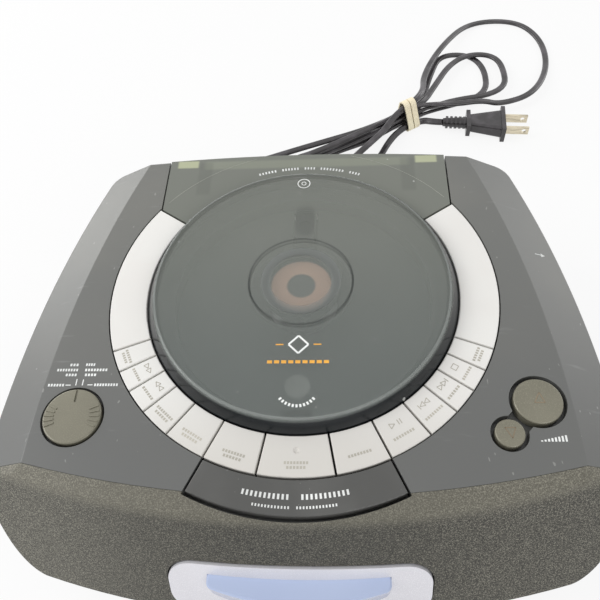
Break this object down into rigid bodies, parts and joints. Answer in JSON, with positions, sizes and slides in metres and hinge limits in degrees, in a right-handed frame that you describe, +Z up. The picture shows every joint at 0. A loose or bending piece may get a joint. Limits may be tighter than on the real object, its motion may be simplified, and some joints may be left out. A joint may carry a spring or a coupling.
{
  "type": "cd clock radio",
  "caption": "Clock radio with a hinged round disc lid ringed by keys, a sloping speaker front with a display, a selector knob, volume buttons and a tied mains cord.",
  "frame": {"origin": "on the ground under the middle of the body, without the cord", "axes": "+X to the user's right, +Y to the rear edge where the lid is hinged, +Z up"},
  "size_m": [0.3245, 0.4777, 0.0977],
  "materials": {
    "case_grey": "satin",
    "front_olive": "fine speckled satin",
    "bezel_silver": "pale pearl",
    "lens_blue": "clear light blue",
    "lid_smoke": "smoked clear",
    "key_ivory": "satin",
    "control_olive": "satin pearl",
    "inner_black": "matt",
    "white_gear": "satin",
    "steel": "plain",
    "circuit_board": "matt",
    "speaker_metal": "matt",
    "core_iron": "varnished",
    "ferrite": "matt",
    "black_rubber": "matt",
    "cord_black": "satin",
    "band_tan": "matt",
    "blade_brass": "polished"
  },
  "bodies": {
    "case": {"bottom_case": "case_grey", "top_case": "case_grey", "front_grille": "front_olive", "display_bezel": "bezel_silver", "display_lens": "lens_blue", "display_module": "inner_black", "hinge_pins": "steel", "lid_latch": "inner_black", "disc_deck": "inner_black", "trim_left": "key_ivory", "trim_right": "key_ivory", "key_board": "circuit_board", "key_switches": "inner_black", "selector_switch": "inner_black", "volume_board": "circuit_board", "spindle_motor": "steel", "player_chassis": "steel", "rubber_dampers": "black_rubber", "sled_rails": "steel", "sled_motor": "steel", "tuning_capacitor": "white_gear", "speaker_baffle": "inner_black", "speaker_left": "speaker_metal", "speaker_right": "speaker_metal", "main_board": "circuit_board", "transformer": "core_iron", "ferrite_aerial": "ferrite", "battery_contacts": "steel", "case_screws": "steel", "rubber_feet": "black_rubber", "cord_gland": "cord_black", "cord_lead": "cord_black", "cord_hank": "cord_black", "cord_band": "band_tan", "cord_plug": "cord_black", "plug_blades": "blade_brass"},
    "lid": {"disc_lid": "lid_smoke"},
    "clamper": {"disc_clamper": "inner_black"},
    "platter": {"turntable": "inner_black"},
    "sled": {"laser_sled": "inner_black"},
    "pinion": {"sled_pinion": "white_gear"},
    "repeat": {"repeat_key": "case_grey"},
    "selector": {"selector_knob": "control_olive"},
    "volume_up": {"volume_up_button": "control_olive"},
    "volume_down": {"volume_down_button": "control_olive"},
    "tuner": {"tuning_wheel": "inner_black"},
    "door": {"battery_door": "case_grey"},
    "key_01": {"ring_key_01": "key_ivory"},
    "key_02": {"ring_key_02": "key_ivory"},
    "key_03": {"ring_key_03": "key_ivory"},
    "key_04": {"ring_key_04": "key_ivory"},
    "key_05": {"ring_key_05": "key_ivory"},
    "key_06": {"ring_key_06": "key_ivory"},
    "key_07": {"ring_key_07": "key_ivory"},
    "key_08": {"ring_key_08": "key_ivory"},
    "key_09": {"ring_key_09": "key_ivory"},
    "key_10": {"ring_key_10": "key_ivory"},
    "key_11": {"ring_key_11": "key_ivory"},
    "key_12": {"ring_key_12": "key_ivory"},
    "key_13": {"ring_key_13": "key_ivory"}
  },
  "joints": [
    {"name": "lid_hinge", "type": "hinge", "parent": "case", "child": "lid", "pos_m": [0, 0.1048, 0.083], "axis": [-1, 0, 0], "range_deg": [0, 65]},
    {"name": "clamper_spin", "type": "hinge", "parent": "lid", "child": "clamper", "pos_m": [0, 0.0228, 0.088], "axis": [0, 0, 1], "continuous": true},
    {"name": "platter_spin", "type": "hinge", "parent": "case", "child": "platter", "pos_m": [0, 0.0228, 0.07], "axis": [0, 0, 1], "continuous": true},
    {"name": "sled_slide", "type": "slide", "parent": "case", "child": "sled", "axis": [0, 1, 0], "range_m": [-0.026, 0]},
    {"name": "pinion_turn", "type": "hinge", "parent": "case", "child": "pinion", "pos_m": [0.0309, 0.0588, 0.063], "axis": [0, 0, 1], "range_deg": [-5, 272]},
    {"name": "key_01_press", "type": "slide", "parent": "case", "child": "key_01", "axis": [0, 0, -1], "range_m": [0, 0.0009], "stiffness_N_per_m": 300, "springref_m": -0.001},
    {"name": "key_02_press", "type": "slide", "parent": "case", "child": "key_02", "axis": [0, 0, -1], "range_m": [0, 0.0009], "stiffness_N_per_m": 300, "springref_m": -0.001},
    {"name": "key_03_press", "type": "slide", "parent": "case", "child": "key_03", "axis": [0, 0, -1], "range_m": [0, 0.0009], "stiffness_N_per_m": 300, "springref_m": -0.001},
    {"name": "key_04_press", "type": "slide", "parent": "case", "child": "key_04", "axis": [0, 0, -1], "range_m": [0, 0.0009], "stiffness_N_per_m": 300, "springref_m": -0.001},
    {"name": "key_05_press", "type": "slide", "parent": "case", "child": "key_05", "axis": [0, 0, -1], "range_m": [0, 0.0009], "stiffness_N_per_m": 300, "springref_m": -0.001},
    {"name": "key_06_press", "type": "slide", "parent": "case", "child": "key_06", "axis": [0, 0, -1], "range_m": [0, 0.0009], "stiffness_N_per_m": 300, "springref_m": -0.001},
    {"name": "key_07_press", "type": "slide", "parent": "case", "child": "key_07", "axis": [0, 0, -1], "range_m": [0, 0.0009], "stiffness_N_per_m": 300, "springref_m": -0.001},
    {"name": "key_08_press", "type": "slide", "parent": "case", "child": "key_08", "axis": [0, 0, -1], "range_m": [0, 0.0009], "stiffness_N_per_m": 300, "springref_m": -0.001},
    {"name": "key_09_press", "type": "slide", "parent": "case", "child": "key_09", "axis": [0, 0, -1], "range_m": [0, 0.0009], "stiffness_N_per_m": 300, "springref_m": -0.001},
    {"name": "key_10_press", "type": "slide", "parent": "case", "child": "key_10", "axis": [0, 0, -1], "range_m": [0, 0.0009], "stiffness_N_per_m": 300, "springref_m": -0.001},
    {"name": "key_11_press", "type": "slide", "parent": "case", "child": "key_11", "axis": [0, 0, -1], "range_m": [0, 0.0009], "stiffness_N_per_m": 300, "springref_m": -0.001},
    {"name": "key_12_press", "type": "slide", "parent": "case", "child": "key_12", "axis": [0, 0, -1], "range_m": [0, 0.0009], "stiffness_N_per_m": 300, "springref_m": -0.001},
    {"name": "key_13_press", "type": "slide", "parent": "case", "child": "key_13", "axis": [0, 0, -1], "range_m": [0, 0.0009], "stiffness_N_per_m": 300, "springref_m": -0.001},
    {"name": "repeat_press", "type": "slide", "parent": "case", "child": "repeat", "axis": [0, 0, -1], "range_m": [0, 0.0009], "stiffness_N_per_m": 300, "springref_m": -0.001},
    {"name": "volume_up_press", "type": "slide", "parent": "case", "child": "volume_up", "axis": [0, 0, -1], "range_m": [0, 0.0009], "stiffness_N_per_m": 300, "springref_m": -0.001},
    {"name": "volume_down_press", "type": "slide", "parent": "case", "child": "volume_down", "axis": [0, 0, -1], "range_m": [0, 0.0009], "stiffness_N_per_m": 300, "springref_m": -0.001},
    {"name": "selector_turn", "type": "hinge", "parent": "case", "child": "selector", "pos_m": [-0.0982, -0.0433, 0.088], "axis": [0, 0, 1], "range_deg": [-60, 0]},
    {"name": "tuner_turn", "type": "hinge", "parent": "case", "child": "tuner", "pos_m": [0.11017, 0.0448, 0.053], "axis": [0, 0, 1], "range_deg": [-90, 90]},
    {"name": "door_slide", "type": "slide", "parent": "case", "child": "door", "axis": [0, 1, 0], "range_m": [0, 0.034]}
  ],
  "couplings": [
    {"joint": "pinion_turn", "follows": "sled_slide", "rad_per_m": -178.57}
  ]
}
